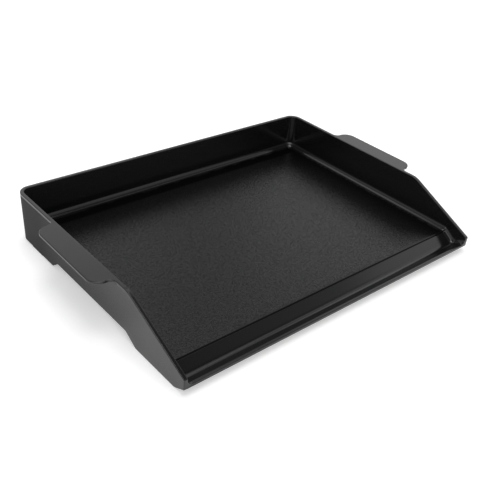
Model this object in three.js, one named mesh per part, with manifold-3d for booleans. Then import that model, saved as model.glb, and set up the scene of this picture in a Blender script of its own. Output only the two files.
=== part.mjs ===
// Electric griddle: a cast plate with lifting handles that stands over a flat heater base.
// Units are millimetres. +Z is up, the open pouring front faces -Y and the supply inlet faces +Y.
// The origin is the centre of the footprint, on the table.
import * as THREE from "three";
import { mergeVertices } from "three/addons/utils/BufferGeometryUtils.js";
import Module from "manifold-3d";

const wasm = await Module();
wasm.setup();

// ---- griddle plate -------------------------------------------------------------------------
const PLATE_HALF_W = 225;        // centre to the outer face of a side wall
const FRONT_Y = -181;            // front edge of the lip
const BACK_Y = 153;              // outer face of the back wall
const WALL = 4.6;                // wall and skirt thickness
const RIM_Z = 64;                // top of the walls
const FLOOR_Z = 16.2;            // cooking surface
const FLOOR_T = 3.7;               // floor thickness
const INNER_FILLET = 7;        // wall to floor fillet
const OUTER_CORNER_R = 15;     // rear corners in plan
const FRONT_CORNER_R = 3;        // front corners in plan
const BEND_Y = -85.3;            // where the side wall's top starts to fall
const BEND_R = 30;               // rounding of that bend
const WALL_TOE_Z = 20.5;         // top of the side wall at the front edge
const CREASE_Y = -149;           // front edge of the flat cooking surface
const SLOPE = Math.tan(THREE.MathUtils.degToRad(34));   // fall into the grease trough
const RAMP = Math.tan(THREE.MathUtils.degToRad(26));    // rise from the trough to the lip
const TROUGH_R = 7.8;              // rounding of the trough's bottom
const LIP_Z = 11.2;              // top of the front lip
const LIP_W = 3.2;               // flat width of the lip's top
const LIP_BOTTOM_Z = 8.4;        // underside of the lip at the front edge
const TROUGH_T = 3.6;            // thickness under the trough

// side skirts: two feet with a long shallow arch between them
const ARCH = { rearFootZ: 1.4, rearFoot: 73, rearTop: 60, frontTop: -81, frontFoot: -99, z: 11 };
const TOE_CHAMFER = 15.7;        // how far behind the lip the front foot starts

// silicone buttons under the rear feet, which tip the plate slightly towards its lip
const BUTTON = { w: 3.2, length: 26, top: 1.05, x: 222.7, y: 112 };

// lifting handles, one flange on each side
const HANDLE = { front: -60, back: 62, reach: 22, t: 3, cornerR: 14.5, rootR: 7, bury: 2.4 };

// ---- heater base ---------------------------------------------------------------------------
const SHEET = 0.8;               // tray sheet thickness
const TRAY = { halfW: 200, front: -137, back: 142, bottom: 2.2, top: 10.8, cornerR: 20 };
const REFLECTOR = { halfW: 192, front: -129, back: 134, z: 3.3, t: 0.6, cornerR: 14 };
const TUBE_R = 3.2;              // heating element sheath
const TUBE_Z = 8.85;             // its axis, 0.45 under the plate
const ROWS = [104, 36, -32, -100];   // the four long runs of the element
const ROW_LEFT = -146;           // centre of the left-hand turns
const ROW_RIGHT = 96;            // centre of the right-hand turn
const CORNER_R = 14;             // quarter turns of the element
const INLET_X = 150;             // centre of the inlet and of the element's two ends
const END_PITCH = 22;            // distance between the element's ends
const TUBE_END_Y = 150;
const SUPPORT = { along: 10, back: -6, front: 13, z: 4.2, top: 8.6, screwAt: 8.6 };
const SUPPORTS = [[-90, 104], [50, 104], [-90, 36], [50, 36], [-90, -32], [50, -32], [-90, -100], [60, -100]];
const SCREW = { r: 1.4, headR: 3, headZ: 0.7, headTop: 1.9, tip: 7.2 };
const CLEAR = 0.35;              // gap drawn between pieces that touch
const PAD = { r: 8, top: 1.9, x: 172, front: -112, back: 118 };

// ---- inlet at the back ---------------------------------------------------------------------
const TONGUE_HALF_W = 40;
const HOUSING = { halfW: 38, front: 155, back: 181, z: 3.3, top: 37, wall: 2.5, cornerR: 5 };
const NOTCH = { halfW: 43, top: 13.4 };
const CUP = { halfW: 21.7, z: 24, halfH: 8.7, wall: 1.8, inner: 166, floor: 2.5, cornerR: 7 };
const CUP_FLANGE = { grow: 1.4, y: 176, t: 2.2 };
const PIN = { r: 2.4, pitch: 19, z: 21, inner: 160.5, outer: 177 };
const EARTH_PIN = { r: 2, z: 27 };
const BOSS = { dx: 31.5, y: 168, r: 3.6, hole: 1.7, depth: 10 };
const EARTH_AT = [170, 161.5];   // earth screw on the tongue
const LIMITER = { x: 147, y: 62, r: 7.5, capR: 6, z: 3.4, shoulder: 10.4, top: 12.1 };

const ARC = 6;                   // segments in a rounded corner

// ---- materials -----------------------------------------------------------------------------
const material = (color, roughness, metalness) =>
  new THREE.MeshStandardMaterial({ color, roughness, metalness });
const COATING = material(0x161616, 0.55, 0.1);
const STEEL = material(0x9a9c9f, 0.35, 0.9);
const ALUMINIUM = material(0xc4c6c8, 0.3, 0.9);
const SHEATH = material(0x4a4b46, 0.5, 0.8);
const CERAMIC = material(0xe6e0d2, 0.7, 0);
const MOULDING = material(0x1b1b1c, 0.6, 0);
const BRASS = material(0xb79a55, 0.3, 0.9);
const SILICONE = material(0x2b2c2e, 0.85, 0);
const SLEEVING = material(0xb9b2a2, 0.8, 0);

// ---- helpers -------------------------------------------------------------------------------

/** Corners given as [x, y, radius] turned into a closed outline with rounded corners. */
function rounded(corners, segments = ARC) {
  const out = [];
  corners.forEach(([x, y, r = 0], i) => {
    const at = new THREE.Vector2(x, y);
    if (!r) return out.push(at);
    const before = corners.at(i - 1);
    const after = corners[(i + 1) % corners.length];
    const a = new THREE.Vector2(before[0], before[1]).sub(at).normalize();
    const b = new THREE.Vector2(after[0], after[1]).sub(at).normalize();
    const half = Math.acos(a.dot(b)) / 2;
    const centre = a.clone().add(b).normalize().multiplyScalar(r / Math.sin(half)).add(at);
    const from = at.clone().addScaledVector(a, r / Math.tan(half)).sub(centre);
    const sweep = (Math.PI - 2 * half) * Math.sign(b.cross(a));
    for (let k = 0; k <= segments; k++) {
      out.push(from.clone().rotateAround(new THREE.Vector2(), (sweep * k) / segments).add(centre));
    }
  });
  return out;
}

const rect = (x0, y0, x1, y1, r = 0) => [[x0, y0, r], [x1, y0, r], [x1, y1, r], [x0, y1, r]];

/** A plan outline raised from z0 to z1. */
function riseZ(outline, z0, z1, holes = []) {
  const shape = new THREE.Shape(outline);
  shape.holes = holes.map((h) => new THREE.Path(h));
  return new THREE.ExtrudeGeometry(shape, { depth: z1 - z0, bevelEnabled: false }).translate(0, 0, z0);
}

/** A (y, z) section carried along X from -half to +half, its end edges rounded by fillet. */
function runX(outline, half, fillet = 0) {
  const options = fillet
    ? { depth: 2 * (half - fillet), bevelEnabled: true, bevelThickness: fillet, bevelSize: fillet,
        bevelOffset: -fillet, bevelSegments: 5 }
    : { depth: 2 * half, bevelEnabled: false };
  const turn = new THREE.Matrix4().set(0, 0, 1, 0, 1, 0, 0, 0, 0, 1, 0, 0, 0, 0, 0, 1);
  return new THREE.ExtrudeGeometry(new THREE.Shape(outline), options)
    .translate(0, 0, fillet - half).applyMatrix4(turn);
}

/** An (x, z) outline carried along Y from y0 to y1. */
function runY(outline, y0, y1) {
  return new THREE.ExtrudeGeometry(new THREE.Shape(outline), { depth: y1 - y0, bevelEnabled: false })
    .rotateX(Math.PI / 2).translate(0, y1, 0);
}

/** Lathe about Z from [radius, z] pairs; the first and last lie on the axis. */
function turned(pairs, segments = 20) {
  return new THREE.LatheGeometry(pairs.map(([r, z]) => new THREE.Vector2(r, z)), segments)
    .rotateX(Math.PI / 2);
}

const rod = (r, z0, z1, segments = 16) => turned([[0, z0], [r, z0], [r, z1], [0, z1]], segments);

function solid(geometry) {
  const bare = geometry.clone();
  bare.deleteAttribute("normal");
  bare.deleteAttribute("uv");
  const welded = mergeVertices(bare, 1e-3);
  return new wasm.Manifold(new wasm.Mesh({
    numProp: 3,
    vertProperties: new Float32Array(welded.attributes.position.array),
    triVerts: new Uint32Array(welded.index.array),
  }));
}

function geometryOf(body) {
  const mesh = body.getMesh();
  const geometry = new THREE.BufferGeometry();
  geometry.setAttribute("position", new THREE.BufferAttribute(mesh.vertProperties, 3));
  geometry.setIndex(new THREE.BufferAttribute(mesh.triVerts, 1));
  return geometry;
}

/** base plus every piece in add, minus every piece in cut. */
function combine(base, { add = [], cut = [], keep = [] }) {
  let body = solid(base);
  for (const g of keep) body = body.intersect(solid(g));
  for (const g of add) body = body.add(solid(g));
  for (const g of cut) body = body.subtract(solid(g));
  return geometryOf(body);
}

/** A path through fixed stations, one extrusion step from each to the next. */
class Stations extends THREE.Curve {
  constructor(points) { super(); this.points = points; }
  getPoint(t) { return this.points[Math.round(t * (this.points.length - 1))].clone(); }
  getPointAt(u) { return this.getPoint(u); }
  getSpacedPoints(n) { return this.getPoints(n); }
  getTangentAt(u) {
    const i = Math.round(u * (this.points.length - 1));
    const a = this.points[Math.max(i - 1, 0)];
    const b = this.points[Math.min(i + 1, this.points.length - 1)];
    const m = this.points[i];
    const before = m.clone().sub(a).normalize();
    return b.clone().sub(m).normalize().add(before).normalize();
  }
}

/** Round bar of radius r along a list of stations. */
function bar(points, r, around = 10) {
  const ring = new THREE.Shape(Array.from({ length: around }, (_, i) => {
    const a = (2 * Math.PI * i) / around;
    return new THREE.Vector2(r * Math.cos(a), r * Math.sin(a));
  }));
  return new THREE.ExtrudeGeometry(ring, { steps: points.length - 1, extrudePath: new Stations(points) });
}

/** Smooth sleeved wire through a few points. */
const wire = (points, r = 0.9, steps = 14) => bar(
  new THREE.CatmullRomCurve3(points.map((p) => new THREE.Vector3(...p)), false, "centripetal").getPoints(steps), r, 7);

const parts = new THREE.Group();
parts.name = "electric_griddle";

function place(name, geometry, look, position = [0, 0, 0], turn = 0) {
  const mesh = new THREE.Mesh(geometry, look);
  mesh.name = name;
  mesh.position.set(...position);
  mesh.rotation.z = turn;
  parts.add(mesh);
}

// ---- griddle plate -------------------------------------------------------------------------

const lipInner = FRONT_Y + LIP_W;

/** Where the slope down from the floor meets the ramp up to the lip. */
function troughVertex() {
  const y = (LIP_Z + RAMP * lipInner - FLOOR_Z + SLOPE * CREASE_Y) / (SLOPE + RAMP);
  return { y, z: FLOOR_Z + SLOPE * (y - CREASE_Y) };
}

/** Side view of the whole casting: sloping wall top, chamfered toe, two feet and the arch. */
function outerProfile() {
  return rounded([
    [BACK_Y, ARCH.rearFootZ, 1], [BACK_Y, RIM_Z, 0.8], [BEND_Y, RIM_Z, BEND_R], [FRONT_Y, WALL_TOE_Z, 3],
    [FRONT_Y, LIP_BOTTOM_Z, 1.5], [FRONT_Y + TOE_CHAMFER, 0, 4], [ARCH.frontFoot, 0, 4],
    [ARCH.frontTop, ARCH.z, 8], [ARCH.rearTop, ARCH.z, 4], [ARCH.rearFoot, ARCH.rearFootZ, 4],
  ]);
}

/** Section of the space above the cooking surface, trough and lip. */
function basinProfile() {
  const trough = troughVertex();
  const beyond = FRONT_Y - 12;
  const above = RIM_Z + 20;
  return rounded([
    [BACK_Y - WALL, above], [BACK_Y - WALL, FLOOR_Z, INNER_FILLET + 0.6], [CREASE_Y, FLOOR_Z, 3],
    [trough.y, trough.z, TROUGH_R], [lipInner, LIP_Z, 1], [beyond, LIP_Z], [beyond, above],
  ]);
}

/** Section of the hollow under the plate. */
function hollowProfile() {
  const trough = troughVertex();
  const under = FLOOR_Z - FLOOR_T;
  const beyond = FRONT_Y - 12;
  const troughUnder = trough.z - TROUGH_T;
  const rise = (LIP_BOTTOM_Z - troughUnder) / (trough.y - FRONT_Y);
  return rounded([
    [BACK_Y - WALL, -6], [BACK_Y - WALL, under, 2],
    [trough.y + (under - troughUnder) / SLOPE, under, 3], [trough.y, troughUnder, 8],
    [beyond, LIP_BOTTOM_Z + rise * (FRONT_Y - beyond)], [beyond, -6],
  ]);
}

/** Handle seen from above: a flange with round outer corners and hollow blends into the rim. */
function handleOutline() {
  const root = PLATE_HALF_W - HANDLE.bury;
  const tip = PLATE_HALF_W + HANDLE.reach;
  return rounded([
    [root, HANDLE.front - HANDLE.rootR - 2], [PLATE_HALF_W, HANDLE.front - HANDLE.rootR - 2],
    [PLATE_HALF_W, HANDLE.front, HANDLE.rootR], [tip, HANDLE.front, HANDLE.cornerR],
    [tip, HANDLE.back, HANDLE.cornerR], [PLATE_HALF_W, HANDLE.back, HANDLE.rootR],
    [PLATE_HALF_W, HANDLE.back + HANDLE.rootR + 2], [root, HANDLE.back + HANDLE.rootR + 2],
  ]);
}

/** Low ribs under the floor that centre the plate over the heater tray. */
function locatingRibs() {
  const gap = 1.5;
  const ribs = [];
  const top = FLOOR_Z - FLOOR_T + 1;
  for (const side of [-1, 1]) {
    for (const y of [-90, 95]) {
      const x = side * (TRAY.halfW + gap + 1.2);
      ribs.push(riseZ(rounded(rect(x - 1.2, y - 16, x + 1.2, y + 16, 1)), 6.5, top));
    }
    ribs.push(riseZ(rounded(rect(side * 120 - 16, TRAY.front - gap - 2.4, side * 120 + 16, TRAY.front - gap, 1)),
      6.5, top));
  }
  return ribs;
}

function griddlePlate() {
  const plan = rounded([
    [PLATE_HALF_W, FRONT_Y, FRONT_CORNER_R], [PLATE_HALF_W, BACK_Y, OUTER_CORNER_R],
    [-PLATE_HALF_W, BACK_Y, OUTER_CORNER_R], [-PLATE_HALF_W, FRONT_Y, FRONT_CORNER_R],
  ]);
  const inside = PLATE_HALF_W - WALL;
  const insidePlan = rounded([
    [inside, FRONT_Y - 20], [inside, BACK_Y - WALL, OUTER_CORNER_R - WALL],
    [-inside, BACK_Y - WALL, OUTER_CORNER_R - WALL], [-inside, FRONT_Y - 20],
  ]);
  const within = riseZ(insidePlan, -8, RIM_Z + 30);
  const basin = combine(runX(basinProfile(), inside, INNER_FILLET), { keep: [within] });
  const hollow = combine(runX(hollowProfile(), inside, 1.4), { keep: [within] });
  const notch = riseZ(rounded(rect(INLET_X - NOTCH.halfW, BACK_Y - WALL - 2, INLET_X + NOTCH.halfW, BACK_Y + 2)),
    -2, NOTCH.top);
  const flange = riseZ(handleOutline(), RIM_Z - HANDLE.t, RIM_Z);
  const mirrored = riseZ(handleOutline().map((p) => new THREE.Vector2(-p.x, p.y)), RIM_Z - HANDLE.t, RIM_Z);
  const shell = combine(runX(outerProfile(), PLATE_HALF_W + 1), {
    keep: [riseZ(plan, -2, RIM_Z + 2)], cut: [basin, hollow, notch],
  });
  return combine(shell, { add: [flange, mirrored, ...locatingRibs()] });
}

// ---- heater base ---------------------------------------------------------------------------

/** Points of the ventilation slots: three columns of slots between the element's runs. */
function ventSlots() {
  const slots = [];
  const length = 52;
  for (const x of [-135, -45, 45]) {
    for (const y of [84, 70, 56, 16, 2, -12, -52, -66, -80]) {
      slots.push(rounded(rect(x - length / 2, y - 2.5, x + length / 2, y + 2.5, 2.4), 3));
    }
  }
  return slots;
}

/** Screw positions: each support's screw sits beside the element. */
const supportScrews = () => SUPPORTS.map(([x, y]) => [x, y + SUPPORT.screwAt]);

function heaterTray() {
  const outer = rounded(rect(-TRAY.halfW, TRAY.front, TRAY.halfW, TRAY.back, TRAY.cornerR));
  const inner = rounded(rect(SHEET - TRAY.halfW, TRAY.front + SHEET, TRAY.halfW - SHEET, TRAY.back - SHEET,
    TRAY.cornerR - SHEET));
  const floorTop = TRAY.bottom + SHEET;
  const tongue = riseZ(rounded(rect(INLET_X - TONGUE_HALF_W, TRAY.back - 10, INLET_X + TONGUE_HALF_W, HOUSING.back)),
    TRAY.bottom, floorTop);
  const window = riseZ(rounded(rect(INLET_X - 22, TRAY.back - 4, INLET_X + 22, TRAY.back + 4)),
    floorTop, TRAY.top + 2);
  const holes = supportScrews().map(([x, y]) => rod(1.8, 0, 6, 10).translate(x, y, 0));
  const bossHoles = [-1, 1].map((s) => rod(1.8, 0, 6, 10).translate(INLET_X + s * BOSS.dx, BOSS.y, 0));
  const earthHole = rod(1.8, 0, 6, 10).translate(...EARTH_AT, 0);
  const slots = ventSlots().map((s) => riseZ(s, 0, floorTop + 0.4));
  const pan = combine(riseZ(outer, TRAY.bottom, TRAY.top), { cut: [riseZ(inner, floorTop, TRAY.top + 2)] });
  return combine(pan, { add: [tongue], cut: [window, ...holes, ...bossHoles, earthHole, ...slots] });
}

function reflectorSheet() {
  const { halfW, front, back, z, t, cornerR } = REFLECTOR;
  const sheet = riseZ(rounded(rect(-halfW, front, halfW, back, cornerR)), z, z + t);
  const holes = supportScrews().map(([x, y]) => rod(1.9, 0, 8, 10).translate(x, y, 0));
  const window = rod(LIMITER.r + 1, 0, 8, 18).translate(LIMITER.x, LIMITER.y, 0);
  return combine(sheet, { cut: [...holes, window] });
}

/** Stations along an arc in plan, at the element's height. */
function turnStations(cx, cy, r, from, to, segments) {
  return Array.from({ length: segments + 1 }, (_, i) => {
    const a = THREE.MathUtils.degToRad(from + ((to - from) * i) / segments);
    return new THREE.Vector3(cx + r * Math.cos(a), cy + r * Math.sin(a), TUBE_Z);
  });
}

/** The element snakes through four rows and comes back beside its start. */
function elementPath() {
  const [first, second, third, fourth] = ROWS;
  const startX = INLET_X - END_PITCH / 2;
  const endX = INLET_X + END_PITCH / 2;
  const half = (first - second) / 2;
  return [
    new THREE.Vector3(startX, TUBE_END_Y, TUBE_Z),
    ...turnStations(startX - CORNER_R, first + CORNER_R, CORNER_R, 0, -90, 6),
    ...turnStations(ROW_LEFT, (first + second) / 2, half, 90, 270, 14),
    ...turnStations(ROW_RIGHT, (second + third) / 2, half, 90, -90, 14),
    ...turnStations(ROW_LEFT, (third + fourth) / 2, half, 90, 270, 14),
    ...turnStations(endX - CORNER_R, fourth + CORNER_R, CORNER_R, -90, 0, 6),
    new THREE.Vector3(endX, TUBE_END_Y, TUBE_Z),
  ];
}

/** Ceramic saddle: a block with a half-round groove for the sheath and a blind screw hole. */
function supportBlock() {
  const { along, back, front, z, top, screwAt } = SUPPORT;
  const block = riseZ(rounded(rect(-along / 2, back, along / 2, front, 1.2), 3), z, top);
  const groove = rod(TUBE_R + CLEAR, -along, along, 20).rotateY(Math.PI / 2).translate(0, 0, TUBE_Z);
  const hole = rod(SCREW.r + CLEAR, z - 1, SCREW.tip + 0.4, 10).translate(0, screwAt, 0);
  return combine(block, { cut: [groove, hole] });
}

/** Pan-head screw standing head down, its shank pointing up. */
function screw(tip = SCREW.tip) {
  const { r, headR, headZ, headTop } = SCREW;
  return turned([[0, headZ], [headR - 0.9, headZ], [headR, headZ + 0.6], [headR, headTop], [r, headTop],
    [r, tip - 0.6], [r - 0.6, tip], [0, tip]], 14);
}

/** Soft foot under the tray, its edge rounded where it meets the table. */
const pad = () => turned([[0, 0], [PAD.r - 0.8, 0], [PAD.r, 0.8], [PAD.r - 0.5, PAD.top], [0, PAD.top]], 24);

function overTemperatureSwitch() {
  const { r, capR, z, shoulder, top } = LIMITER;
  return turned([[0, z], [r, z], [r, shoulder], [capR, shoulder + 0.5], [capR, top - 0.4],
    [capR - 0.4, top], [0, top]], 24);
}

// ---- inlet ---------------------------------------------------------------------------------

function roundedWindow(halfW, z, halfH, r) {
  return rounded(rect(INLET_X - halfW, z - halfH, INLET_X + halfW, z + halfH, r));
}

/** Moulded cover behind the back wall, open below where the tongue closes it. */
function inletHousing() {
  const { halfW, front, back, z, top, wall, cornerR } = HOUSING;
  const outer = riseZ(rounded(rect(INLET_X - halfW, front, INLET_X + halfW, back, cornerR)), z, top);
  const room = riseZ(rounded(rect(INLET_X - halfW + wall, front + wall, INLET_X + halfW - wall, back - wall,
    cornerR - wall)), z - 1, top - wall);
  const entry = riseZ(rounded(rect(INLET_X - 17, front - 1, INLET_X + 17, front + wall + 1)), z - 1, NOTCH.top);
  const socket = runY(roundedWindow(CUP.halfW + CLEAR, CUP.z, CUP.halfH + CLEAR, CUP.cornerR), back - 6, back + 1);
  const posts = [-1, 1].map((s) => rod(BOSS.r, z, top - wall + 0.5, 16).translate(INLET_X + s * BOSS.dx, BOSS.y, 0));
  const holes = [-1, 1].map((s) => rod(BOSS.hole, z - 1, z + BOSS.depth, 10)
    .translate(INLET_X + s * BOSS.dx, BOSS.y, 0));
  const shell = combine(outer, { cut: [room, entry, socket] });
  return combine(shell, { add: posts, cut: holes });
}

/** Recessed cup that holds the contacts, with a flange behind the housing's back wall. */
function socketCup() {
  const { halfW, z, halfH, wall, inner, floor, cornerR } = CUP;
  const body = runY(roundedWindow(halfW, z, halfH, cornerR), inner, HOUSING.back);
  const recess = runY(roundedWindow(halfW - wall, z, halfH - wall, cornerR - wall), inner + floor, HOUSING.back + 1);
  const grow = CUP_FLANGE.grow;
  const flange = runY(roundedWindow(halfW + grow, z, halfH + grow, cornerR + grow), CUP_FLANGE.y,
    CUP_FLANGE.y + CUP_FLANGE.t);
  const holes = contacts().map(({ x, z: h, r }) => contactRod(r + CLEAR, inner - 1, HOUSING.back)
    .translate(x, 0, h));
  return combine(body, { add: [flange], cut: [recess, ...holes] });
}

const contacts = () => [
  { name: "contact_live", x: INLET_X - PIN.pitch / 2, z: PIN.z, r: PIN.r },
  { name: "contact_neutral", x: INLET_X + PIN.pitch / 2, z: PIN.z, r: PIN.r },
  { name: "contact_earth", x: INLET_X, z: EARTH_PIN.z, r: EARTH_PIN.r },
];

/** Round contact along Y, its outer end chamfered. */
function contactRod(r, y0, y1, chamfer = 0.01) {
  return turned([[0, y0], [r, y0], [r, y1 - chamfer], [r - chamfer, y1], [0, y1]], 16).rotateX(-Math.PI / 2);
}

/** Ceramic bead that closes one end of the sheath round its terminal. */
function endSeal() {
  const ring = contactRod(4, 0, 4.6);
  return combine(ring, { cut: [contactRod(1.3 + CLEAR, -1, 6)] });
}

// ---- assembly ------------------------------------------------------------------------------

place("griddle_plate", griddlePlate(), COATING);
for (const [side, sign] of [["left", -1], ["right", 1]]) {
  const { w, length, top, x, y } = BUTTON;
  const outline = rounded(rect(-w / 2, -length / 2, w / 2, length / 2, 1.5), 4);
  place(`plate_button_${side}`, riseZ(outline, 0, top), SILICONE, [sign * x, y, 0]);
}
place("heater_tray", heaterTray(), STEEL);
place("reflector_sheet", reflectorSheet(), ALUMINIUM);
place("heating_element", bar(elementPath(), TUBE_R), SHEATH);

SUPPORTS.forEach(([x, y], i) => {
  place(`element_support_${i + 1}`, supportBlock(), CERAMIC, [x, y, 0]);
  place(`support_screw_${i + 1}`, screw(), STEEL, [x, y + SUPPORT.screwAt, 0]);
});

for (const [side, sign] of [["left", -1], ["right", 1]]) {
  place(`tray_foot_front_${side}`, pad(), SILICONE, [sign * PAD.x, PAD.front, 0]);
  place(`tray_foot_back_${side}`, pad(), SILICONE, [sign * PAD.x, PAD.back, 0]);
  const endX = INLET_X + (sign * END_PITCH) / 2;
  place(`element_seal_${side}`, endSeal(), CERAMIC, [endX, TUBE_END_Y + CLEAR, TUBE_Z]);
  place(`element_terminal_${side}`, contactRod(1.3, 0, 10.6, 0.4), STEEL, [endX, TUBE_END_Y + CLEAR, TUBE_Z]);
  place(`inlet_screw_${side}`, screw(BOSS.depth), STEEL, [INLET_X + sign * BOSS.dx, BOSS.y, 0]);
}

place("inlet_housing", inletHousing(), MOULDING);
place("socket_cup", socketCup(), CERAMIC);
for (const { name, x, z, r } of contacts()) {
  place(name, contactRod(r, PIN.inner, PIN.outer, 0.7), BRASS, [x, 0, z]);
}

// over-temperature switch, its tabs and its sleeved leads
place("limit_switch", overTemperatureSwitch(), CERAMIC, [LIMITER.x, LIMITER.y, 0]);
const tabY = LIMITER.y + LIMITER.r + CLEAR;
for (const [side, dx] of [["left", -3], ["right", 3]]) {
  const x = LIMITER.x + dx;
  place(`limit_tab_${side}`, riseZ(rounded(rect(x - 1.8, tabY, x + 1.8, tabY + 6, 0.8), 3), 5.6, 6.4), BRASS);
}
const tabEnd = tabY + 6 + CLEAR;
place("lead_to_neutral", wire([
  [144, tabEnd, 6], [146.5, 118, 6], [148, 150, 6], [150.5, 158, 8], [157.5, 162.5, 14.5], [159.4, 163, 18.2],
]), SLEEVING);
place("lead_to_element", wire([
  [150, tabEnd, 6], [152.2, 118, 6], [153, 149, 6], [154.6, 156.5, 7.4], [159.3, 158.2, TUBE_Z],
]), SLEEVING);

// thermal fuse between the live contact and the element's left end
place("thermal_fuse", rod(1.8, 12.3, 16.8), ALUMINIUM, [INLET_X - END_PITCH / 2, 162.6, 0]);
place("lead_fuse_lower", wire([[139, 161.35, TUBE_Z], [139, 162.3, 9.4], [139, 162.6, 11.95]], 0.8, 5), SLEEVING);
place("lead_fuse_upper", wire([[139, 162.6, 17.15], [139.6, 162.8, 17.7], [140.4, 163, 18.25]], 0.6, 3), SLEEVING);

// earth connection down to the tray's tongue
place("earth_screw", turned([[0, 0.8], [1.4, 0.8], [1.4, HOUSING.z + 0.05], [3.2, HOUSING.z + 0.05],
  [3.2, 4.8], [2.4, 5.4], [0, 5.4]], 14), BRASS, [...EARTH_AT, 0]);
place("lead_earth", wire([
  [152.4, 162, EARTH_PIN.z], [160, 161.5, 26.5], [168, 161.4, 21], [170, 161.5, 12], [170, 161.5, 5.75],
]), SLEEVING);

export default parts;
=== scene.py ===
import math

import bmesh
import bpy
import numpy as np
from mathutils import Matrix, Vector


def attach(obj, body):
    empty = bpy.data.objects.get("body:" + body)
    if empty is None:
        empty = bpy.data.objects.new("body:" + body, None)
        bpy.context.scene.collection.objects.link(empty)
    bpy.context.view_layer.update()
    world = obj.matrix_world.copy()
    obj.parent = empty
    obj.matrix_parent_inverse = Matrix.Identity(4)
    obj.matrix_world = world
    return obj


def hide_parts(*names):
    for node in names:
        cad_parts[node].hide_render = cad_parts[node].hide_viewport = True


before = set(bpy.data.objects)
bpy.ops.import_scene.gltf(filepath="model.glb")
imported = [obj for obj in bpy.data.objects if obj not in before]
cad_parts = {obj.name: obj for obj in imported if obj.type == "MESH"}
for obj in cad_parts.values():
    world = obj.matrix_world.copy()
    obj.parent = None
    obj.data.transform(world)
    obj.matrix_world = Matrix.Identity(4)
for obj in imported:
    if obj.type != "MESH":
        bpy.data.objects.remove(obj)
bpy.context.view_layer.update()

MM = 0.001               # metres in a millimetre

# ---- sizes of the casting, in millimetres ----------------------------------------------------
HALF_W = 225.0           # centre to the outer face of a side wall
FRONT, BACK = -181.0, 153.0
WALL = 4.6
RIM = 64.0
FLOOR, FLOOR_T = 16.2, 3.7
FILLET = 7.0             # wall to floor, inside
CORNER = 15.0            # rear corners in plan, outside
BEND, BEND_R = -85.3, 30.0        # where a side wall's rim turns down, and how roundly
TOE = 20.5               # height of a side wall at the front
CREASE = -149.0          # end of the level cooking surface
SLOPE, RAMP = math.tan(math.radians(34)), math.tan(math.radians(26))
LIP, LIP_W, LIP_UNDER = 11.2, 3.2, 8.4
TROUGH_R, TROUGH_T = 7.8, 3.6
REAR_FOOT = 1.4          # gap under the rear feet, filled by their buttons
ARCH = 11.0              # height of the skirt's long arch
NOTCH_X, NOTCH_HALF = 150.0, 43.0
HANDLE_FRONT, HANDLE_BACK, REACH, HANDLE_T = -60.0, 62.0, 22.0, 3.0
HANDLE_CORNER, HANDLE_ROOT = 14.5, 7.0
EDGE = 0.85              # rounding of rims and flange edges
FRONT_EDGE = 0.8         # rounding of the front faces
GROOVE, GROOVE_HALF, GROOVE_Y = 0.65, 0.6, -149.8   # groove at the end of the cooking surface
RIB_LOW, RIB_TOP = 6.5, 13.5      # locating ribs under the floor: lower edge, and end inside the floor
RIB_CORNER, RIB_EDGE = 1.0, 0.5
RIBS = tuple((side * x, y, *half) for side in (-1, 1)
             for x, y, *half in ((202.7, -90, 1.2, 16), (202.7, 95, 1.2, 16), (120, -139.7, 16, 1.2)))

# ---- sizes of the small pieces, in millimetres -----------------------------------------------
HEAD_LOW, HEAD_SEAT, HEAD_R, HEAD_EDGE = 0.7, 1.9, 3.0, 0.35
SHANK_R, TIP = 1.4, 7.2
FOOT_R, FOOT_H, FOOT_EDGE, DISH_R, DISH = 8.0, 1.9, 0.8, 5.2, 0.45
FEET = {(side, end): (x, y) for x, side in ((-172, "left"), (172, "right"))
        for y, end in ((-112, "front"), (118, "back"))}
TUBE_R, TUBE_Z = 3.2, 8.85        # the heating element
ROWS = (104.0, 36.0, -32.0, -100.0)       # its straight runs, rear to front
ROW_BEND, END_BEND = 34.0, 14.0
LEFT_BEND, RIGHT_BEND = -146.0, 96.0
TUBE_ENDS, TUBE_END_Y = (139.0, 161.0), 150.0
SUPPORTS = tuple((x, y) for y, pair in zip(ROWS, ((-90, 50), (-90, 50), (-90, 50), (-90, 60))) for x in pair)
SCREW_BEHIND = 8.6       # how far behind its support each screw stands


# ---- outlines ----------------------------------------------------------------------------------

def rounded(corners, steps=12, closed=False):
    """Polyline through (x, y, radius) corners; each corner is an arc tangent to its two sides."""
    out = []
    count = len(corners)
    for i, (x, y, r) in enumerate(corners):
        p = np.array([x, y], float)
        if not r or (not closed and i in (0, count - 1)):
            out.append(p[None])
            continue
        a = np.array(corners[i - 1][:2], float) - p
        b = np.array(corners[(i + 1) % count][:2], float) - p
        a /= np.hypot(*a)
        b /= np.hypot(*b)
        half = math.acos(float(np.clip(a @ b, -1, 1))) / 2
        middle = (a + b) / np.hypot(*(a + b))
        centre = p + middle * r / math.sin(half)
        start = p + a * r / math.tan(half) - centre
        sweep = (math.pi - 2 * half) * np.sign(b[0] * a[1] - b[1] * a[0])
        t = np.linspace(0, sweep, steps + 1)
        out.append(centre + np.stack([start[0] * np.cos(t) - start[1] * np.sin(t),
                                      start[0] * np.sin(t) + start[1] * np.cos(t)], 1))
    return np.concatenate(out)


def height(line):
    """Height as a function of y, read along a polyline that never turns back in y."""
    order = np.argsort(line[:, 0], kind="stable")
    ys, zs = line[order, 0], line[order, 1]
    return lambda y: np.interp(y, ys, zs)


TROUGH_Y = (LIP + RAMP * (FRONT + LIP_W) - FLOOR + SLOPE * CREASE) / (SLOPE + RAMP)
TROUGH_Z = FLOOR + SLOPE * (TROUGH_Y - CREASE)
UNDER = FLOOR - FLOOR_T
UNDER_TROUGH = TROUGH_Z - TROUGH_T

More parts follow.
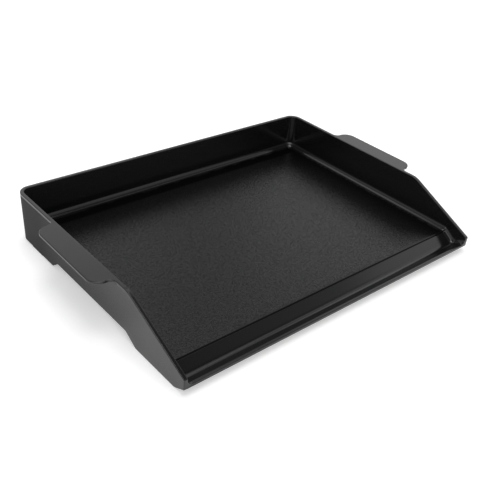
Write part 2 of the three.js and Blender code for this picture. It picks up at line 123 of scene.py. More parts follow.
rim_height = height(rounded([(BACK, RIM, 0), (BEND, RIM, BEND_R), (FRONT, TOE, 3.0),
                             (FRONT - 0.01, 8, 0)], 24))
floor_line = height(rounded([(BACK, FLOOR, 0), (CREASE, FLOOR, 3.0), (TROUGH_Y, TROUGH_Z, TROUGH_R),
                             (FRONT + LIP_W, LIP, 1.0), (FRONT - 5, LIP, 0)], 16))
under_height = height(rounded([(BACK, UNDER, 0), (TROUGH_Y + (UNDER - UNDER_TROUGH) / SLOPE, UNDER, 3.0),
                               (TROUGH_Y, UNDER_TROUGH, 8.0), (FRONT, LIP_UNDER, 0)], 12))
skirt_height = height(rounded([(BACK, REAR_FOOT, 0), (73, REAR_FOOT, 4), (60, ARCH, 4), (-81, ARCH, 8),
                               (-99, 0, 4), (-165.3, 0, 4), (FRONT, LIP_UNDER, 0)], 10))


def floor_height(y):
    """Inside surface with its groove: the line, less GROOVE exp(-(distance / GROOVE_HALF) squared)."""
    return floor_line(y) - GROOVE * np.exp(-((y - GROOVE_Y) / GROOVE_HALF) ** 2)


def joined(*runs):
    """Sorted union of stations, those closer than 0.02 taken as one."""
    s = np.sort(np.concatenate(runs))
    return s[np.concatenate([[True], np.diff(s) > 0.02])]


def handle_outline():
    """A handle from above, as (reach outwards, y): out of the wall on a hollow arc, round the front
    corner, straight along in 33 steps, and back the same way. The two numbers returned with it are the
    points where the straight begins and ends."""
    line = rounded([(0, HANDLE_FRONT - HANDLE_ROOT - 1, 0), (0, HANDLE_FRONT, HANDLE_ROOT),
                    (REACH, HANDLE_FRONT, HANDLE_CORNER), (REACH, HANDLE_BACK, HANDLE_CORNER),
                    (0, HANDLE_BACK, HANDLE_ROOT), (0, HANDLE_BACK + HANDLE_ROOT + 1, 0)], 14)
    begin = np.flatnonzero(np.diff(line[:, 1]) > 50)[0]
    run = np.linspace(line[begin, 1], line[begin + 1, 1], 34)[1:-1]
    straight = np.stack([np.full(run.size, REACH), run], 1)
    return np.concatenate([line[:begin + 1], straight, line[begin + 1:]]), begin, begin + run.size + 1


def side_stations():
    """Stations of a side wall from the front to the rear corner, closer together where something bends.

    Returns the wall's y and the top outline as (reach outwards, y), which follows the handle's outline
    beside the handle and the wall elsewhere.
    """
    first, last = FRONT + FRONT_EDGE, BACK - CORNER
    toe = first + 5 * (1 - np.cos(np.linspace(0, math.pi / 2, 10)))
    groove = GROOVE_Y + np.linspace(-1.5, 1.5, 9)
    plain = joined(toe, np.linspace(FRONT + 5, -151, 21), groove, np.linspace(-145, -108, 12),
                   np.linspace(-105, -72, 18), np.linspace(72, 76, 4), np.linspace(78, last, 16))
    outline, low, high = handle_outline()
    ends = [0, low, high, len(outline) - 1]
    wall_y = np.interp(np.arange(len(outline)), ends, outline[ends, 1])
    before, after = plain[plain < wall_y[0] - 0.5], plain[plain > wall_y[-1] + 0.5]
    before[0], after[-1] = first, last
    ys = np.concatenate([before, wall_y, after])
    reach = np.concatenate([np.zeros(before.size), outline[:, 0], np.zeros(after.size)])
    top_y = np.concatenate([before, outline[:, 1], after])
    return ys, reach, top_y


def path_stations():
    """The wall's path seen from above: up the left side, round the rear corner, along the back and
    down the right side. Each station has a point on the outer face, the inward direction, the top
    outline's own point, and that outline's outward direction."""
    ys, reach, top_y = side_stations()
    turn = np.linspace(math.pi, math.pi / 2, 13)[1:-1]
    step = np.array([-0.5, 0.0, 0.5])
    back_x = joined(np.linspace(CORNER - HALF_W, HALF_W - CORNER, 49),
                    NOTCH_X - NOTCH_HALF + step, NOTCH_X + NOTCH_HALF + step)
    left = np.stack([np.full(ys.size, -HALF_W), ys], 1)
    left_top = np.stack([-HALF_W - reach, top_y], 1)
    bend = np.stack([CORNER - HALF_W + CORNER * np.cos(turn), BACK - CORNER + CORNER * np.sin(turn)], 1)
    back = np.stack([back_x, np.full(back_x.size, BACK)], 1)
    flip = np.array([-1.0, 1.0])
    face = np.concatenate([left, bend, back, bend[::-1] * flip, left[::-1] * flip])
    top = np.concatenate([left_top, bend, back, bend[::-1] * flip, left_top[::-1] * flip])
    bend_in = -np.stack([np.cos(turn), np.sin(turn)], 1)
    inward = np.concatenate([np.tile([1.0, 0.0], (ys.size, 1)), bend_in,
                             np.tile([0.0, -1.0], (back_x.size, 1)),
                             bend_in[::-1] * flip, np.tile([-1.0, 0.0], (ys.size, 1))])
    along = np.gradient(top, axis=0)
    along /= np.hypot(along[:, 0], along[:, 1])[:, None]
    outward = np.stack([-along[:, 1], along[:, 0]], 1)
    return face, inward, top, outward, ys, back_x


# ---- meshes ------------------------------------------------------------------------------------

def grid_faces(rows, cols, close_cols=False):
    """Quads of a rows by cols grid of points, the last column joined to the first where it closes."""
    i, j = np.meshgrid(np.arange(rows - 1), np.arange(cols if close_cols else cols - 1), indexing="ij")
    m = (j + 1) % cols
    return np.stack([i * cols + j, i * cols + m, (i + 1) * cols + m, (i + 1) * cols + j], -1).reshape(-1, 4)


def end_faces(rows, cols):
    """The first and last rows of a grid of points, each closed with one flat face."""
    return np.stack([np.arange(cols), np.arange((rows - 1) * cols, rows * cols)])


def closed_mesh(name, parts, attributes=None):
    """Object from parts, each its points and arrays of faces; shared seams merged, faces turned outwards."""
    mesh = bpy.data.meshes.new(name)
    verts = np.concatenate([points.reshape(-1, 3) for points, *_ in parts])
    faces, base = [], 0
    for points, *groups in parts:
        for group in groups:
            faces += (group + base).tolist()
        base += points.size // 3
    mesh.from_pydata((verts * MM).tolist(), [], faces)
    for key, values in (attributes or {}).items():
        mesh.attributes.new(key, "FLOAT", "POINT").data.foreach_set("value", values.astype(np.float32))
    work = bmesh.new()
    work.from_mesh(mesh)
    bmesh.ops.remove_doubles(work, verts=work.verts, dist=2e-6)
    bmesh.ops.dissolve_degenerate(work, edges=work.edges, dist=1e-7)
    bmesh.ops.recalc_face_normals(work, faces=work.faces)
    work.to_mesh(mesh)
    work.free()
    mesh.polygons.foreach_set("use_smooth", np.ones(len(mesh.polygons), bool))
    obj = bpy.data.objects.new(name, mesh)
    bpy.context.scene.collection.objects.link(obj)
    return obj


# ---- the casting -------------------------------------------------------------------------------

def casting_grid():
    """The wall's section carried along its path.

    The section starts at the underside of the floor, follows a small arc down the inside of the skirt,
    rounds the skirt's lower edge, climbs the outer face, goes out and back round the edge of the handle
    flange (which has no reach away from the handles), crosses the rim, and runs down the inner face and
    the floor fillet, an arc of radius FILLET, to the edge of the cooking surface.
    Returns positions (station, point, xyz), the points' edge and outside weights, and the stations.
    """
    face, inward, top, outward, ys, back_x = path_stations()
    y = face[:, 1]
    on_back = np.abs(face[:, 0]) < HALF_W - CORNER + 0.01
    rim, floor, under, foot = rim_height(y), floor_height(y), under_height(y), skirt_height(y)
    in_notch = on_back & (y > BACK - 1) & (np.abs(face[:, 0] - NOTCH_X) < NOTCH_HALF)
    foot = np.where(in_notch, UNDER - 0.3, foot)
    small = np.minimum(1.8, np.maximum((under - foot) * 0.45, 0.02))
    soft = np.minimum(0.7, np.maximum((under - foot) * 0.2, 0.01))
    points, weights, outside = [], [], []

    def add(offset, z, edge=0.0, shift=None, outer=0.0):
        """One point of the section at every station: offset inwards, height, and a sideways shift."""
        xy = face + inward * np.broadcast_to(offset, y.shape)[:, None]
        if shift is not None:
            xy = xy + shift
        points.append(np.concatenate([xy, np.broadcast_to(z, y.shape)[:, None]], 1))
        weights.append(edge)
        outside.append(outer)

    # inside of the skirt and its lower edge
    quarter = np.linspace(0, math.pi / 2, 6)
    add(WALL + FILLET, under)
    add(WALL + small + 0.4, under)
    for a in quarter:
        add(WALL + small * (1 - np.sin(a)), under - small * (1 - np.cos(a)))
    add(WALL, (under - small) * 0.3 + (foot + soft) * 0.7)
    for a in quarter[::2]:
        add(WALL - soft * (1 - np.cos(a)), foot + soft * (1 - np.sin(a)), 0.6)
    for a in quarter[::2]:
        add(soft * (1 - np.sin(a)), foot + soft * (1 - np.cos(a)), 0.6, outer=1.0)

    # outer face, up to the underside of the flange
    low, high = foot + soft, rim - HANDLE_T
    add(0, low + np.minimum(0.4, (high - low) * 0.1), outer=1.0)
    for share in (0.25, 0.5, 0.75):
        add(0, low + (high - low) * share, outer=1.0)
    add(0, high - 0.4, outer=1.0)
    add(0, high, outer=1.0)

    # flange: out below, round its edge, and back over the rim
    lean = top - face
    reach = np.hypot(lean[:, 0], lean[:, 1])
    round_under = (EDGE * np.clip(reach / EDGE, 0, 1))[:, None]
    for share in (0.25, 0.6, 0.85, 0.97):
        add(0, high, 0.0, (lean - outward * round_under) * share)
    for a in quarter:
        add(0, high + EDGE * (1 - np.cos(a)), 1.0, lean - outward * round_under * (1 - np.sin(a)))
    add(0, rim - HANDLE_T / 2, 1.0, lean)
    for a in quarter:
        add(0, rim - EDGE * (1 - np.sin(a)), 1.0, lean - outward * EDGE * (1 - np.cos(a)))
    start = lean - outward * EDGE
    across = inward * (WALL - EDGE)
    for share in (0.03, 0.12, 0.35, 0.6, 0.8, 0.93):
        add(0, rim, 0.3, start * (1 - share) + across * share)

    # rim's inner edge, inner face and floor fillet
    for a in quarter:
        add(WALL - EDGE * (1 - np.sin(a)), rim - EDGE * (1 - np.cos(a)), 1.0)
    bend = np.minimum(FILLET, (rim - EDGE - floor) * 0.92)
    top_of_bend = floor + bend
    gap = rim - EDGE - top_of_bend
    add(WALL, rim - EDGE - np.minimum(0.4, gap * 0.2))
    for share in (0.7, 0.4, 0.15):
        add(WALL, top_of_bend + gap * share)
    add(WALL, top_of_bend + np.minimum(0.5, gap * 0.08))
    for a in np.linspace(0, math.pi / 2, 17):
        add(WALL + FILLET * (1 - np.cos(a)), floor + bend * (1 - np.sin(a)))
    return np.stack(points, 1), np.array(weights), np.array(outside), ys, back_x


def panel_points(ys, back_x, z_of):
    """Panel inside the fillets, z = z_of(y): rows at the side stations, columns at the back stations."""
    edge = HALF_W - WALL - FILLET
    gx, gy = np.meshgrid(np.concatenate([[-edge], back_x, [edge]]), ys)
    return np.stack([gx, gy, z_of(gy)], -1)


def locating_rib(x, y, half_x, half_y):
    """Upright oblong with rounded corners, its lower edge drawn in on a quarter arc.

    Ring k is the oblong drawn in by RIB_EDGE (1 - cos a), at height RIB_LOW + RIB_EDGE (1 - sin a), and
    the first ring is the whole oblong at RIB_TOP.
    """
    arc_angles = np.linspace(0, math.pi / 2, 5)
    insets = np.concatenate([[0.0], RIB_EDGE * (1 - np.cos(arc_angles))])
    heights = np.concatenate([[RIB_TOP], RIB_LOW + RIB_EDGE * (1 - np.sin(arc_angles))])
    rings = []
    for inset, z in zip(insets, heights):
        w, d, r = half_x - inset, half_y - inset, RIB_CORNER - inset
        line = rounded([(x - w, y - d, r), (x + w, y - d, r), (x + w, y + d, r), (x - w, y + d, r)], 5, True)
        rings.append(np.concatenate([line, np.full((len(line), 1), z)], 1))
    rings = np.stack(rings)
    rows, cols = rings.shape[:2]
    return rings, grid_faces(rows, cols, close_cols=True), end_faces(rows, cols)


def front_cap(loop):
    """Front end of the casting: the section drawn in along its own normals on a quarter arc, then closed.

    Ring k is the section moved along its normals by -FRONT_EDGE (1 - cos a), at
    y = FRONT + FRONT_EDGE (1 - sin a).
    """
    section = loop[:, [0, 2]]
    ahead, behind = np.roll(section, -1, 0), np.roll(section, 1, 0)
    a, b = ahead - section, section - behind
    a /= np.maximum(np.hypot(a[:, 0], a[:, 1]), 1e-6)[:, None]
    b /= np.maximum(np.hypot(b[:, 0], b[:, 1]), 1e-6)[:, None]
    t = a + b
    t /= np.maximum(np.hypot(t[:, 0], t[:, 1]), 1e-6)[:, None]
    area = np.sum(section[:, 0] * ahead[:, 1] - ahead[:, 0] * section[:, 1])
    normal = np.stack([t[:, 1], -t[:, 0]], 1) * np.sign(area)
    rings = []
    for angle in np.linspace(0, math.pi / 2, 6):
        inner = section - normal * FRONT_EDGE * (1 - math.cos(angle))
        y = FRONT + FRONT_EDGE * (1 - math.sin(angle))
        rings.append(np.stack([inner[:, 0], np.full(len(inner), y), inner[:, 1]], 1))
    rows, cols = len(rings), len(loop)
    return np.stack(rings), grid_faces(rows, cols, close_cols=True), end_faces(rows, cols)[1:]


def plate_casting():
    """The whole casting: carried wall section, top and bottom panels with small fans at the two rear
    corners, front faces whose edges are quarter arcs, and the locating ribs.

    Every point has three weights: edge (rubbed), outside, and cooking (1 on the cooking surface).
    """
    sweep, edge_weight, outer_weight, ys, back_x = casting_grid()
    count = sweep.shape[0]
    parts = [(sweep, grid_faces(*sweep.shape[:2]))]
    edge, outside = [np.tile(edge_weight, count)], [np.tile(outer_weight, count)]
    cooking = [np.zeros(edge[0].size)]

    def add(part, rubbed=0.0, flat=0.0):
        """Take in a part with one edge weight, and a cooking weight for all its points or for each."""
        size = part[0].size // 3
        parts.append(part)
        edge.append(np.full(size, rubbed))
        outside.append(np.zeros(size))
        cooking.append(np.broadcast_to(flat, size))

    rear = BACK - WALL - FILLET
    corner_steps = 11
    end_rows = []
    for z_of, column, is_top in ((floor_height, -1, 1.0), (under_height, 0, 0.0)):
        panel = panel_points(ys, back_x, z_of)
        level = is_top * (ys > CREASE + 0.6)
        add((panel, grid_faces(*panel.shape[:2])), 0.0, np.repeat(level, panel.shape[1]))
        behind = np.stack([back_x, np.full(back_x.size, rear), np.full(back_x.size, z_of(rear))], 1)
        strip = np.stack([panel[-1, 1:-1], behind])
        add((strip, grid_faces(*strip.shape[:2])), 0.0, is_top)
        for pivot, first in ((panel[-1, 1], ys.size - 1),
                             (panel[-1, -2], ys.size + corner_steps + back_x.size - 1)):
            ring = sweep[first:first + corner_steps + 2, column]
            spoke = np.arange(1, len(ring))
            fan = np.stack([0 * spoke, spoke, spoke + 1], 1)
            add((np.concatenate([pivot[None], ring]), fan), 0.0, is_top)
        end_rows.append(panel[0, 1:-1])
    top_row, under_row = end_rows
    add(front_cap(np.concatenate([sweep[0], top_row, sweep[-1][::-1], under_row[::-1]])), 0.5)
    for rib in RIBS:
        add(locating_rib(*rib), 0.3)
    weights = {"edge": edge, "outside": outside, "cooking": cooking}
    return closed_mesh("plate_casting", parts, {key: np.concatenate(w) for key, w in weights.items()})


# ---- small pieces --------------------------------------------------------------------------------

def turned(name, profile, at, sides=48, dent=None):
    """Profile (radius, height) turned about the vertical line through `at`, closed at both ends.

    Point (i, j) is at + (r_i cos a_j, r_i sin a_j), at height z_i + dent(x, y, z_i).
    """
    angle = np.linspace(0, 2 * math.pi, sides, endpoint=False)
    r, z = profile[:, :1], profile[:, 1:]
    x, y = r * np.cos(angle), r * np.sin(angle)
    heights = np.broadcast_to(z, x.shape) + (dent(x, y, z) if dent else 0.0)
    grid = np.stack([x + at[0], y + at[1], heights], -1)
    rows = len(profile)
    return closed_mesh(name, [(grid, grid_faces(rows, sides, close_cols=True), end_faces(rows, sides))])


def cross_recess(x, y, z):
    """Depth of a cross driven into a screw head: deepest on both axes, gone beyond 1.9 mm from the centre."""
    reach = np.hypot(x, y)
    arm = np.clip(1.25 - np.minimum(np.abs(x), np.abs(y)) / 0.34, 0, 1)
    return 0.75 * arm * np.clip((1.9 - reach) / 0.7, 0, 1) * (z < HEAD_SEAT - 0.1)


def screw(name, at):
    """Pan head screw driven upwards: its face is z = HEAD_LOW + 0.45 (r / HEAD_R) to the power 2.4,
    rounded at the rim, and its shank is a plain cylinder."""
    flat = HEAD_R - HEAD_EDGE
    r = np.linspace(0.02, flat, 26)
    face = np.stack([r, HEAD_LOW + 0.45 * (r / HEAD_R) ** 2.4], 1)
    a = np.linspace(0, math.pi / 2, 5)[1:]
    rim = np.stack([flat + HEAD_EDGE * np.sin(a), face[-1, 1] + HEAD_EDGE * (1 - np.cos(a))], 1)
    rest = np.array([(HEAD_R, HEAD_SEAT - 0.08), (HEAD_R - 0.08, HEAD_SEAT), (SHANK_R + 0.15, HEAD_SEAT),
                     (SHANK_R, HEAD_SEAT + 0.15), (SHANK_R, 4.0), (SHANK_R, TIP - 0.4), (SHANK_R - 0.4, TIP),
                     (0.02, TIP)])
    return turned(name, np.concatenate([face, rim, rest]), at, 64, cross_recess)


def foot(name, at):
    """Round silicone foot: the tread's edge is a quarter arc, and its underside has a dish whose height
    is DISH (1 - (r / DISH_R) squared) squared."""
    r = np.linspace(0.05, DISH_R, 12)
    dish = np.stack([r, DISH * (1 - (r / DISH_R) ** 2) ** 2], 1)
    a = np.linspace(0, math.pi / 2, 7)
    tread = np.stack([FOOT_R - FOOT_EDGE + FOOT_EDGE * np.sin(a), FOOT_EDGE * (1 - np.cos(a))], 1)
    top = np.array([(FOOT_R, FOOT_H - 0.4), (FOOT_R - 0.1, FOOT_H - 0.15), (FOOT_R - 0.4, FOOT_H),
                    (0.05, FOOT_H)])
    return turned(name, np.concatenate([dish, tread, top]), at, 72)


def arc(cx, cy, r, start, end):
    """Points of a circular arc, about one every 4 degrees, angles in degrees."""
    a = np.radians(np.linspace(start, end, int(abs(end - start) / 4) + 1))
    return np.stack([cx + r * np.cos(a), cy + r * np.sin(a)], 1)


def element_line():
    """The heating element from above: in at the rear right, four runs joined by half circles, and out."""
    rear, second, third, front = ROWS
    first_end, last_end = TUBE_ENDS
    return np.concatenate([
        [(first_end, TUBE_END_Y)],
        arc(first_end - END_BEND, rear + END_BEND, END_BEND, 0, -90),
        arc(LEFT_BEND, rear - ROW_BEND, ROW_BEND, 90, 270),
        arc(RIGHT_BEND, second - ROW_BEND, ROW_BEND, 90, -90),
        arc(LEFT_BEND, third - ROW_BEND, ROW_BEND, 90, 270),
        arc(last_end - END_BEND, front + END_BEND, END_BEND, -90, 0),
        [(last_end, TUBE_END_Y)]])


def tube(name, line, z, radius, sides=28):
    """Round tube along a level line: p + R (cos a side + sin a up), with R eased in over both ends."""
    step = np.hypot(*np.diff(line, axis=0).T)
    line = line[np.concatenate([[True], step > 0.05])]
    for end, other in ((0, 1), (-1, -2)):
        inward = (line[other] - line[end]) / np.hypot(*(line[other] - line[end]))
        extra = line[end] + inward * np.array([[0.0], [0.15], [0.5]])
        line = np.concatenate([extra, line[1:]]) if end == 0 else np.concatenate([line[:-1], extra[::-1]])
    along = np.gradient(line, axis=0)
    along /= np.hypot(along[:, 0], along[:, 1])[:, None]
    size = np.full(len(line), radius)
    size[[0, -1]] -= 0.5
    size[[1, -2]] -= 0.15
    a = np.linspace(0, 2 * math.pi, sides, endpoint=False)
    side = np.stack([-along[:, 1], along[:, 0]], 1)
    xy = line[:, None] + side[:, None] * (size[:, None] * np.cos(a))[..., None]
    grid = np.concatenate([xy, (z + size[:, None] * np.sin(a))[..., None]], -1)
    rows = len(line)
    return closed_mesh(name, [(grid, grid_faces(rows, sides, close_cols=True), end_faces(rows, sides))])


# ---- finishes ----------------------------------------------------------------------------------

class Value:
    """A number, colour or shader on a node's socket; + - * on a number add the Math nodes."""

    def __init__(self, nodes, socket):
        self.nodes, self.socket = nodes, socket

    def __add__(self, other):
        return self.nodes.maths("ADD", self, other)

    def __radd__(self, other):
        return self.nodes.maths("ADD", other, self)

    def __sub__(self, other):
        return self.nodes.maths("SUBTRACT", self, other)

    def __rsub__(self, other):
        return self.nodes.maths("SUBTRACT", other, self)

    def __mul__(self, other):
        return self.nodes.maths("MULTIPLY", self, other)

    def __rmul__(self, other):
        return self.nodes.maths("MULTIPLY", other, self)


class Nodes:
    """A node tree under construction."""

    def __init__(self, tree):
        self.tree = tree

    def node(self, kind, settings, sockets, output=0):
        """Add a node: its settings first (a ramp's stops are (position, grey) pairs), then its sockets."""
        made = self.tree.nodes.new(kind)
        for key, value in settings.items():
            if key != "stops":
                setattr(made, key, value)
                continue
            elements = made.color_ramp.elements
            while len(elements) < len(value):
                elements.new(0.5)
            for element, (position, grey) in zip(elements, value):
                element.position, element.color = position, (grey, grey, grey, 1)
        for key, value in sockets.items():
            if isinstance(value, Value):
                self.tree.links.new(value.socket, made.inputs[key])
            else:
                made.inputs[key].default_value = value
        return Value(self, made.outputs[output])

    def maths(self, operation, *values):
        return self.node("ShaderNodeMath", {"operation": operation}, dict(enumerate(values)))

    def ease(self, value, low, high, first=0.0, last=1.0):
        """From `first` at or below `low` to `last` at or above `high`, in a straight line."""
        return self.node("ShaderNodeMapRange", {}, {0: value, 1: low, 2: high, 3: first, 4: last})

    def step(self, value, low, high, dark=0.0, light=1.0):
        return self.node("ShaderNodeValToRGB", {"stops": ((low, dark), (high, light))}, {"Fac": value})


class Finish(Nodes):
    """A material under construction."""

    def __init__(self, name, **fixed):
        self.material = bpy.data.materials.new(name)
        self.material.use_nodes = True
        super().__init__(self.material.node_tree)
        self.shader = self.tree.nodes["Principled BSDF"]
        for key, value in fixed.items():
            self.shader.inputs[key.replace("_", " ")].default_value = value
        self.place = self.node("ShaderNodeTexCoord", {}, {}, "Object")

    def axis(self, name):
        """Place along one axis, in millimetres."""
        return self.node("ShaderNodeSeparateXYZ", {}, {0: self.place}, name) * (1 / MM)

    def stretched(self, x, y, z):
        return self.node("ShaderNodeMapping", {}, {"Vector": self.place, "Scale": (x, y, z)})

    def noise(self, scale, detail=3.0, rough=0.5, where=None):
        return self.node("ShaderNodeTexNoise", {}, {"Vector": where or self.place, "Scale": scale,
                                                    "Detail": detail, "Roughness": rough})

    def attribute(self, name):
        return self.node("ShaderNodeAttribute", {"attribute_name": name}, {}, "Fac")

    def mix(self, factor, a, b):
        wrap = [c if isinstance(c, Value) else (*c, 1.0) for c in (a, b)]
        return self.node("ShaderNodeMix", {"data_type": "RGBA"}, {0: factor, 6: wrap[0], 7: wrap[1]}, 2)

    def bump(self, value, distance, strength=1.0, after=None):
        sockets = {"Height": value, "Distance": distance, "Strength": strength}
        if after:
            sockets["Normal"] = after
        return self.node("ShaderNodeBump", {}, sockets)

    def principled(self, ior, colour, rough, normal):
        return self.node("ShaderNodeBsdfPrincipled", {},
                         {"IOR": ior, "Base Color": colour, "Roughness": rough, "Normal": normal})

    def blend(self, factor, first, second):
        return self.node("ShaderNodeMixShader", {}, {0: factor, 1: first, 2: second})

    def give(self, **links):
        """Link values to the material's own shader, by socket name."""
        for key, value in links.items():
            self.tree.links.new(value.socket, self.shader.inputs[key.replace("_", " ")])
        return Value(self, self.shader.outputs[0])

    def surface(self, shader):
        """Make `shader` the one that shows."""
        self.tree.links.new(shader.socket, self.tree.nodes["Material Output"].inputs["Surface"])
        return self.material


def coating():
    """Black coat. Satin on the walls and handles, rougher and visibly pebbled on the cooking surface. Painted
    shade:
    duller towards the rear of the outside and on the ramp of the trough, where darker reflections fall, and
    flat black in the groove and in strips at the foot of the back and right walls, where shade falls."""
    f = Finish("nonstick_coating", IOR=1.5)
    cooking, edge, outside = f.attribute("cooking"), f.attribute("edge"), f.attribute("outside")
    x, y, z = f.axis("X"), f.axis("Y"), f.axis("Z")
    cloud, grain, pebble = f.noise(9.0), f.noise(1500.0, 2.0, 0.6), f.noise(600.0, 2.0, 0.6)
    dark = f.mix(cloud, (0.0045, 0.0045, 0.0047), (0.0062, 0.0062, 0.0064))
    rubbed = f.mix(edge * f.step(f.noise(60.0), 0.35, 0.75), dark, (0.014, 0.014, 0.0145))
    fine = f.bump(grain, 0.00002, 0.3)
    satin = f.give(Base_Color=rubbed, Roughness=0.125 + cloud * 0.03 + grain * 0.05, Normal=fine)
    # less reflective shader, used only as painted shade at the rear of the outside and on the trough's ramp
    dull = f.principled(1.15, rubbed, 0.4 + cloud * 0.1, fine)
    # painted shade: the outside's reflection weakened towards the rear, so the outer faces darken rearwards
    shade_to_rear = f.ease(y, -120, 100, 0.0, 0.95)
    lip_inside = FRONT + LIP_W
    # painted shade: the trough's ramp dulled into a dark band in front of the lip
    ramp_shade = (f.ease(y, TROUGH_Y - 3.6, TROUGH_Y - 1.1, 0.75, 0.0)
               * f.ease(y, lip_inside - 0.4, lip_inside + 0.2)
               * f.ease(z, LIP + 0.1, LIP + 1.3, 1.0, 0.0))
    shell = f.blend(outside * shade_to_rear + ramp_shade * (1.0 - outside), satin, dull)
    base = f.mix(cloud, (0.0018, 0.0018, 0.0019), (0.0028, 0.0028, 0.0029))
    relief = f.bump(pebble * 0.8 + grain * 0.2, 0.0006, 0.45)
    plate = f.principled(1.47, base, 0.18 + pebble * 0.10, relief)
    pit = f.principled(1.2, base, 0.34 + pebble * 0.10, relief)
    pebbled = f.blend(f.step(pebble, 0.36, 0.62, 0.70, 0.05), plate, pit)
    # near non-reflecting black shader, used only as painted shade in the groove and in the strips by the
    # walls
    shade_black = f.principled(1.03, base, 0.5 + cloud * 0.1, fine)
    # painted shade: dark strips on the cooking surface along the back wall and along the right wall only
    by_back = f.ease(y, BACK - 28.5, BACK - 24.5)
    by_side = f.ease(x, HALF_W - 42, HALF_W - 18, 0.0, 0.7)
    # painted shade: a dark line in the groove at the end of the cooking surface
    off_groove = f.maths("ABSOLUTE", y - GROOVE_Y)
    in_groove = f.ease(off_groove, 0.5, 1.2, 0.85, 0.0) * f.ease(z, FLOOR + 0.8, FLOOR + 1.8, 1.0, 0.0)
    painted_shade_mask = cooking * f.maths("MAXIMUM", by_back, by_side) + in_groove * (1.0 - outside)
    return f.surface(f.blend(painted_shade_mask, f.blend(cooking, shell, pebbled), shade_black))


def worn(name, base, tint, wear, rough, metallic=0.0, grain=300.0, stretch=(1, 1, 1), radius=0.0004):
    """Finish with two mottled colours, brighter or duller worn edges, uneven roughness and a fine relief.

    The edge mask is one minus the cosine between the true normal and a normal rounded over `radius`.
    """
    f = Finish(name, Metallic=metallic)
    cloud, fine = f.noise(14.0, 4.0), f.noise(grain, 3.0, 0.6, f.stretched(*stretch))
    rounded_normal = f.node("ShaderNodeBevel", {"samples": 4}, {"Radius": radius})
    true_normal = f.node("ShaderNodeNewGeometry", {}, {}, "Normal")
    cosine = f.node("ShaderNodeVectorMath", {"operation": "DOT_PRODUCT"},
                    {0: rounded_normal, 1: true_normal}, "Value")
    mask = f.step(1.0 - cosine, 0.02, 0.25) * f.step(f.noise(90.0), 0.3, 0.6, 0.3, 1.0)
    body = f.mix(f.step(cloud, 0.35, 0.65), base, tint)
    speckled = f.mix(f.step(fine, 0.55, 0.8) * 0.5, body, tint)
    f.give(Base_Color=f.mix(mask, speckled, wear), Roughness=rough + cloud * 0.12 + fine * 0.10 - mask * 0.06,
           Normal=f.bump(fine, 0.00004, 0.5, rounded_normal))
    return f.material


FINISHES = {
    "coated_casting": coating(),
    "silicone": worn("silicone", (0.018, 0.018, 0.019), (0.028, 0.028, 0.029), (0.04, 0.04, 0.041),
                     0.58, grain=700.0),
    "tray_steel": worn("tray_steel", (0.40, 0.40, 0.41), (0.47, 0.47, 0.475), (0.62, 0.62, 0.63),
                       0.30, 1.0, grain=240.0, stretch=(0.06, 1, 1)),
    "reflector": worn("reflector", (0.72, 0.72, 0.73), (0.80, 0.80, 0.805), (0.88, 0.88, 0.885),
                      0.16, 1.0, grain=180.0, stretch=(1, 0.05, 1)),
    "sheath": worn("sheath", (0.10, 0.098, 0.094), (0.17, 0.155, 0.14), (0.26, 0.25, 0.24),
                   0.36, 1.0, grain=420.0),
    "screw_steel": worn("screw_steel", (0.50, 0.50, 0.51), (0.58, 0.58, 0.585), (0.72, 0.72, 0.73),
                        0.24, 1.0, grain=900.0, radius=0.0002),
    "ceramic": worn("ceramic", (0.70, 0.67, 0.60), (0.76, 0.74, 0.68), (0.82, 0.80, 0.76),
                    0.44, grain=800.0),
    "moulding": worn("moulding", (0.020, 0.020, 0.021), (0.026, 0.026, 0.027), (0.05, 0.05, 0.051),
                     0.42, grain=1100.0),
    "brass": worn("brass", (0.58, 0.42, 0.18), (0.66, 0.50, 0.24), (0.80, 0.66, 0.38),
                  0.20, 1.0, grain=600.0, radius=0.0002),
    "sleeving": worn("sleeving", (0.55, 0.53, 0.47), (0.66, 0.64, 0.58), (0.74, 0.72, 0.67),
                     0.62, grain=1600.0),
}


def finished(obj, slot, body, *nodes):
    """Give a new piece its finish, body and slot, and say which CAD nodes it stands for."""
    obj.data.materials.clear()
    obj.data.materials.append(FINISHES[slot])
    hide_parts(*nodes)
    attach(obj, body)


finished(plate_casting(), "coated_casting", "plate", "griddle_plate")
finished(tube("element_tube", element_line(), TUBE_Z, TUBE_R), "sheath", "heater_base", "heating_element")
for number, (support_x, support_y) in enumerate(SUPPORTS, 1):
    pan_screw = screw(f"pan_screw_{number}", (support_x, support_y + SCREW_BEHIND))
    finished(pan_screw, "screw_steel", "heater_base", f"support_screw_{number}")
for (side, end), at in FEET.items():
    finished(foot(f"round_foot_{end}_{side}", at), "silicone", "heater_base", f"tray_foot_{end}_{side}")
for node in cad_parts.values():
    for held in node.material_slots:
        held.material = FINISHES[held.material.name.split(".")[0]]


# ---- setting -----------------------------------------------------------------------------------

CAMERA_PLACE = (-0.50241, -0.53631, 0.46377)
CAMERA_TURN = (-43.41, 36.61, 5.66)       # azimuth from the front, height above level, and roll, in degrees
LENS, SENSOR, SHIFT = 51.089, 36.0, 0.1042

# how bright the surround is at each height, from level with the table (0) to overhead (1)
SURROUND = ((0.0, 1.0), (0.06, 1.0), (0.18, 0.68), (0.50, 0.68), (0.62, 0.545), (0.72, 0.272), (0.85, 0.102),
            (1.0, 0.055))

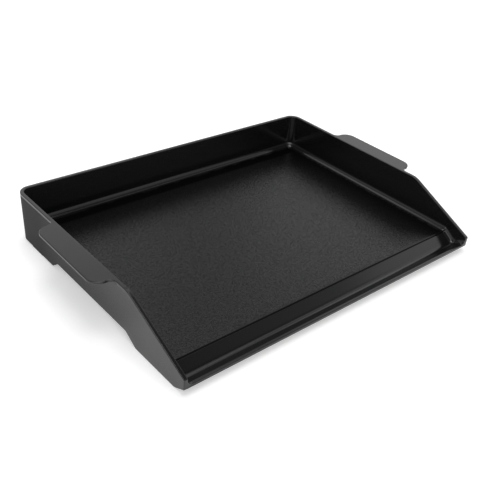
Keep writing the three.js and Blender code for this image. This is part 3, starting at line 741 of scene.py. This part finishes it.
# name: place, the point it faces, width and length, watts
SOFT_BOXES = {
    "overhead": ((0, 0, 2.2), (0, 0, 0), (1.06, 1.06), 15),
    "high_front": ((-0.75, -0.80, 1.90), (0, 0, 0), (1.06, 1.06), 6),
    "low_front": ((-1.52, -1.52, 0.62), (0, 0, 0), (2.4, 1.0), 16),
    "right": ((1.80, 0.0, 1.26), (0, 0, 0), (1.06, 1.06), 1.7),
    "rear_right": ((1.65, 0.95, 1.10), (0, 0, 0), (1.0, 0.8), 1.1),
    "rear": ((0.45, 1.74, 1.26), (0, 0, 0), (1.06, 1.06), 1.4),
    "above_right": ((1.25, 0.32, 2.0), (1.25, 0.32, 0), (1.1, 0.8), 1.9),
    "above_rear": ((-0.15, 1.25, 2.0), (-0.15, 1.25, 0), (1.3, 0.8), 4.4),
    "above_rear_right": ((0.85, 0.85, 2.0), (0.85, 0.85, 0), (1.0, 1.0), 3.6),
    "right_front": ((2.2, -0.8, 1.6), (2.2, -0.8, 0), (0.9, 0.9), 1.2),
}
TABLE_R, TABLE_DROP = 6.0, 0.0002


def camera():
    """Camera off the front left corner, looking down on the plate."""
    azimuth, elevation, roll = map(math.radians, CAMERA_TURN)
    back = Vector((math.sin(azimuth) * math.cos(elevation), -math.cos(azimuth) * math.cos(elevation),
                   math.sin(elevation)))
    right = (-back).cross(Vector((0, 0, 1))).normalized()
    up = right.cross(-back)
    side_axis = right * math.cos(roll) + up * math.sin(roll)
    head_axis = up * math.cos(roll) - right * math.sin(roll)
    data = bpy.data.cameras.new("camera")
    data.sensor_width, data.lens, data.shift_y = SENSOR, LENS, SHIFT
    data.clip_start, data.clip_end = 0.01, 50
    obj = bpy.data.objects.new("camera", data)
    obj.matrix_world = Matrix((side_axis, head_axis, back)).transposed().to_4x4()
    obj.location = CAMERA_PLACE
    bpy.context.scene.collection.objects.link(obj)
    bpy.context.scene.camera = obj


def soft_box(name, location, aim, size, power):
    """Rectangular lamp at `location`, facing the point `aim`."""
    data = bpy.data.lights.new(name, "AREA")
    data.shape, data.size, data.size_y, data.energy = "RECTANGLE", *size, power
    obj = bpy.data.objects.new(name, data)
    obj.location = location
    obj.rotation_euler = (Vector(aim) - Vector(location)).to_track_quat("-Z", "Y").to_euler()
    bpy.context.scene.collection.objects.link(obj)


def surround():
    """White all round near the table's level, and darker overhead."""
    world = bpy.data.worlds.new("surround")
    bpy.context.scene.world = world
    world.use_nodes = True
    nodes = Nodes(world.node_tree)
    direction = nodes.node("ShaderNodeTexCoord", {}, {}, "Generated")
    upward = nodes.node("ShaderNodeSeparateXYZ", {}, {0: direction}, "Z")
    grey = nodes.node("ShaderNodeValToRGB", {"stops": SURROUND}, {"Fac": upward})
    background = world.node_tree.nodes["Background"].inputs
    world.node_tree.links.new(grey.socket, background["Color"])
    background["Strength"].default_value = 0.94


def table():
    """Round white table just under the feet, which shows from above only."""
    mesh = bpy.data.meshes.new("table")
    t = np.linspace(0, 2 * math.pi, 48, endpoint=False)
    ring = np.stack([TABLE_R * np.cos(t), TABLE_R * np.sin(t), 0 * t - TABLE_DROP], 1)
    mesh.from_pydata(ring.tolist(), [], [list(range(48))])
    obj = bpy.data.objects.new("table", mesh)
    bpy.context.scene.collection.objects.link(obj)
    white = Finish("table_white", Roughness=0.9, Emission_Color=(1, 1, 1, 1), Emission_Strength=0.36)
    top = white.give(Base_Color=white.mix(white.noise(3.0), (0.86, 0.86, 0.86), (0.88, 0.88, 0.88)))
    from_below = white.node("ShaderNodeNewGeometry", {}, {}, "Backfacing")
    clear = white.node("ShaderNodeBsdfTransparent", {}, {})
    obj.data.materials.append(white.surface(white.blend(from_below, top, clear)))


camera()
surround()
table()
for box, facts in SOFT_BOXES.items():
    soft_box(box, *facts)
bpy.context.scene.view_settings.view_transform = "Standard"
